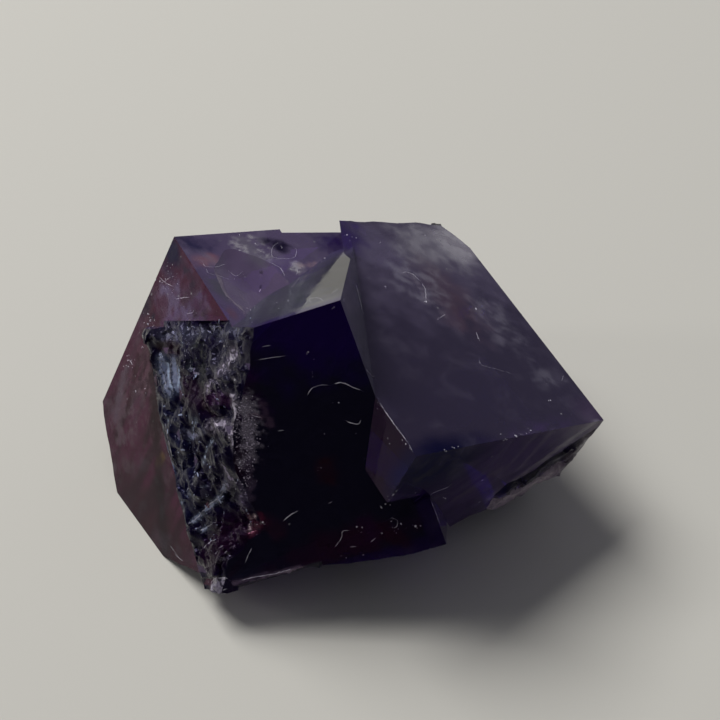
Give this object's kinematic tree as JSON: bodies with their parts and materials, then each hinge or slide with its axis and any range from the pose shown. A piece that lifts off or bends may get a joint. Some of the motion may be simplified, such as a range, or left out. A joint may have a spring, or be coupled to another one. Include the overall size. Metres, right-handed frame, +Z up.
{
  "type": "fluorite cube cluster",
  "caption": "Hand-sized piece of clear purple-blue fluorite: smooth interpenetrating cubes with one splintery broken side, resting on a flat break.",
  "frame": {"origin": "on the flat resting break, below the middle of the piece's outline", "axes": "+Z up from the resting break, +Y away from the viewer of the splintery side and the dark centre face, +X to the right-hand cube"},
  "size_m": [0.056, 0.0448, 0.0338],
  "materials": {
    "fluorite": "smooth see-through crystal, dark violet-blue, with rough broken bands"
  },
  "bodies": {
    "root": {"fluorite_crystal": "fluorite"}
  },
  "joints": []
}
